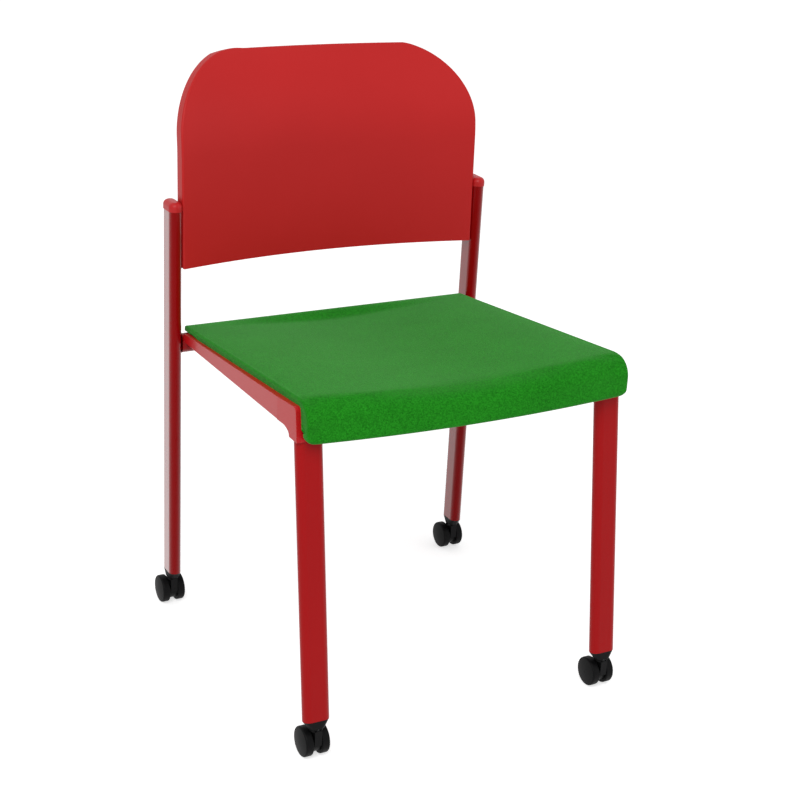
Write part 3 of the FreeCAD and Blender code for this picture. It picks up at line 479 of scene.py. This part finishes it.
def drawn_in(points, depth):
    """The same outline moved inwards by a depth."""
    count = len(points)
    moved = []
    for index, (y, z) in enumerate(points):
        before, after = points[index - 1], points[(index + 1) % count]
        along = Vector((after[0] - before[0], after[1] - before[1])).normalized()
        moved.append((y - along.y * depth, z + along.x * depth))
    return moved


def pad_stations():
    """Shares of the half width, close together at the sides, with how far each is drawn in."""
    edge = [0.0, 0.25, 0.7, 1.4, PAD_SIDE_ROUND, 3.0, 3.6, 6.0, 8.5, 12.0]
    last = edge[-1]
    for step in range(1, SIDE_STEPS + 1):
        edge.append(last + step * (PAD_FRONT_HALF - last) / SIDE_STEPS)
    for distance in edge:
        short = max(0.0, PAD_SIDE_ROUND - distance)
        depth = PAD_SIDE_ROUND - math.sqrt(PAD_SIDE_ROUND**2 - short**2)
        yield 1 - distance / PAD_FRONT_HALF, depth


stations = list(pad_stations())
stations += [(-share, depth) for share, depth in stations[-2::-1]]
pad_form = bmesh.new()
uv = pad_form.loops.layers.uv.new("cover")
swell = pad_form.verts.layers.float.new("swell")
rings = []
for share, depth in stations:
    outline = drawn_in(pad_outline(share), depth)
    travel = [0.0]
    for before, after in zip(outline, outline[1:]):
        travel.append(travel[-1] + math.dist(before, after))
    from_side = (1 - abs(share)) * PAD_FRONT_HALF
    start, end = travel[LIP_START], travel[TOE_START]
    ring = []
    for index, ((y, z), run) in enumerate(zip(outline, travel)):
        point = pad_form.verts.new((share * seat_half(y) / 1000, y / 1000, z / 1000))
        border = min(from_side, run - start, end - run)
        point[swell] = smooth(border / COVER_MARGIN) if index <= TOE_START else 0.0
        ring.append((point, (share * seat_half(y), run)))
    rings.append(ring)
for one, other in zip(rings, rings[1:]):
    for index in range(len(one)):
        following = (index + 1) % len(one)
        corners = (one[index], one[following], other[following], other[index])
        face = pad_form.faces.new([corner[0] for corner in corners])
        for loop, corner in zip(face.loops, corners):
            across, along = corner[1]
            if following == 0 and along == 0.0:
                along = one[index][1][1] + 3.0
            loop[uv].uv = (across / 1000, along / 1000)
for ring in (rings[0], rings[-1]):
    face = pad_form.faces.new([corner[0] for corner in ring])
    for loop in face.loops:
        loop[uv].uv = (loop.vert.co.y, loop.vert.co.z)
ends = [face for face in pad_form.faces if len(face.verts) > 4]
bmesh.ops.triangulate(pad_form, faces=ends)
bmesh.ops.recalc_face_normals(pad_form, faces=pad_form.faces)
pad_form.normal_update()
for point in pad_form.verts:
    point.co -= point.normal * point[swell] * COVER_STRETCH / 1000
for face in pad_form.faces:
    face.smooth = True
pad_mesh = bpy.data.meshes.new("seat_cushion")
pad_form.to_mesh(pad_mesh)
pad_form.free()
cushion = bpy.data.objects.new("seat_cushion", pad_mesh)
bpy.context.scene.collection.objects.link(cushion)

swells = [item.value for item in pad_mesh.attributes["swell"].data]
held = cushion.vertex_groups.new(name="held")
held.add([index for index, share in enumerate(swells) if share <= 0.0], 1.0, "REPLACE")
stuffing = cushion.modifiers.new("foam", "CLOTH")
stuffing.settings.vertex_group_mass = "held"
stuffing.settings.use_pressure = True
stuffing.settings.uniform_pressure_force = STUFFING
stuffing.settings.effector_weights.gravity = 0.0
for number in range(1, FRAMES + 1):
    bpy.context.scene.frame_set(number)
graph = bpy.context.evaluated_depsgraph_get()
swollen = cushion.evaluated_get(graph).to_mesh()
moves = [after.co - before.co for before, after in zip(pad_mesh.vertices, swollen.vertices)]
cushion.evaluated_get(graph).to_mesh_clear()
cushion.modifiers.clear()
cushion.vertex_groups.clear()
bpy.context.scene.frame_set(1)
for point, move, share in zip(pad_mesh.vertices, moves, swells):
    limit = COVER_STRETCH * STRETCH_LIMIT * share / 1000
    point.co += move * min(1.0, limit / max(move.length, 1e-9))
pad_mesh.attributes.remove(pad_mesh.attributes["swell"])
rounding = cushion.modifiers.new("rounding", "SUBSURF")
rounding.levels = rounding.render_levels = 1

WEAVE_SCALE, PATCH_SCALE, WEAR_SCALE = 820.0, 900.0, 14.0
cloth = Shader(
    "seat cloth", Roughness=0.9, Specular_IOR_Level=0.06, Sheen_Weight=0.36, Sheen_Roughness=0.42,
    Sheen_Tint=(0.42, 1.0, 0.4, 1.0),
)
cover = cloth.node("ShaderNodeUVMap", {"uv_map": "cover"})
weave = {"Vector": cover, "Scale": WEAVE_SCALE}
knot = cloth.node("ShaderNodeTexVoronoi", {"feature": "F1"}, output=1, **weave)
fleck = cloth.node("ShaderNodeSeparateColor", {}, knot)
patch = cloth.noise(cover, PATCH_SCALE, 1.0, 0.6)
worn = cloth.noise(cover, WEAR_SCALE, 2.0, 0.5)
shift = fleck * 0.6 + patch * 0.4 + worn * 0.3 - 0.15
thread = cloth.node("ShaderNodeTexVoronoi", {"feature": "F1"}, **weave)
cushion.data.materials.append(
    cloth.feed(
        **{
            "Base Color": cloth.mix(shift, screen(8, 90, 7), screen(40, 153, 32)),
            "Normal": cloth.bump(thread * -1.0 + patch * 0.5, 0.0004, 0.5),
        }
    )
)
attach(cushion, "frame")
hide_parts("seat_pad")


# Castors and the plugs that hold them: black moulded plastic, with bright steel pins inside.
# Each plug is pressed into a tube's foot and grips a stem, on which the twin wheels' hood swivels.
black_plastic = skin(
    "black plastic", screen(5, 5, 6), screen(11, 11, 12), ripple=0.00004, Roughness=0.42,
    Specular_IOR_Level=0.11,
)
wheel_plastic = skin(
    "wheel plastic", screen(6, 6, 7), screen(14, 14, 15), ripple=0.00006, Roughness=0.5,
    Specular_IOR_Level=0.09,
)
pin_steel = skin(
    "pin steel", screen(150, 150, 155), screen(180, 180, 184), Roughness=0.3, Metallic=1.0
)
for corner in ("front_left", "front_right", "rear_left", "rear_right"):
    finish(black_plastic, "leg_plug_" + corner, "castor_hood_" + corner)
    finish(wheel_plastic, *["castor_%s_wheel_%s" % (corner, side) for side in SIDES])
    finish(pin_steel, "castor_stem_" + corner, "castor_axle_" + corner)


# Studio: a pale floor that shows white to the camera and keeps the chair's shadow, an even
# white room, and two broad soft lamps.
ROOM_LIGHT, FLOOR_SHADE, FLOOR_GLOW, LAMPS_AIM = 0.6, 0.8, 0.6, Vector((0, 0, 0.45))


def seen(tree, low, high):
    """One strength for the light itself, and another for what camera, mirror and glass see."""
    path = tree.nodes.new("ShaderNodeLightPath")
    either = path.outputs["Is Camera Ray"]
    for ray in ("Is Glossy Ray", "Is Transmission Ray"):
        largest = tree.nodes.new("ShaderNodeMath")
        largest.operation = "MAXIMUM"
        tree.links.new(either, largest.inputs[0])
        tree.links.new(path.outputs[ray], largest.inputs[1])
        either = largest.outputs[0]
    reach = tree.nodes.new("ShaderNodeMapRange")
    tree.links.new(either, reach.inputs["Value"])
    reach.inputs["To Min"].default_value = low
    reach.inputs["To Max"].default_value = high
    return reach.outputs["Result"]


world = bpy.data.worlds.new("studio")
bpy.context.scene.world = world
world.use_nodes = True
room = world.node_tree
room.nodes["Background"].inputs["Color"].default_value = (1, 1, 1, 1)
room.links.new(seen(room, ROOM_LIGHT, 1.0), room.nodes["Background"].inputs["Strength"])

floor_mesh = bpy.data.meshes.new("floor")
floor_mesh.from_pydata([(-6, -6, 0), (6, -6, 0), (6, 8, 0), (-6, 8, 0)], [], [(0, 1, 2, 3)])
floor = bpy.data.objects.new("floor", floor_mesh)
bpy.context.scene.collection.objects.link(floor)
floor_paint = bpy.data.materials.new("floor")
floor_paint.use_nodes = True
surface = floor_paint.node_tree.nodes["Principled BSDF"]
surface.inputs["Base Color"].default_value = (FLOOR_SHADE, FLOOR_SHADE, FLOOR_SHADE, 1)
surface.inputs["Roughness"].default_value = 1.0
surface.inputs["Specular IOR Level"].default_value = 0.0
surface.inputs["Emission Color"].default_value = (1, 1, 1, 1)
glow = seen(floor_paint.node_tree, 0.0, FLOOR_GLOW)
floor_paint.node_tree.links.new(glow, surface.inputs["Emission Strength"])
floor_mesh.materials.append(floor_paint)

for name, spot, width, power in (
    ("key", (-1.4, -1.9, 2.6), 1.8, 44),
    ("fill", (2.4, -1.6, 1.4), 1.6, 5),
):
    data = bpy.data.lights.new(name, "AREA")
    data.shape = "SQUARE"
    data.size = width
    data.energy = power
    lamp = bpy.data.objects.new(name, data)
    lamp.location = spot
    lamp.rotation_euler = (LAMPS_AIM - Vector(spot)).to_track_quat("-Z", "Y").to_euler()
    bpy.context.scene.collection.objects.link(lamp)
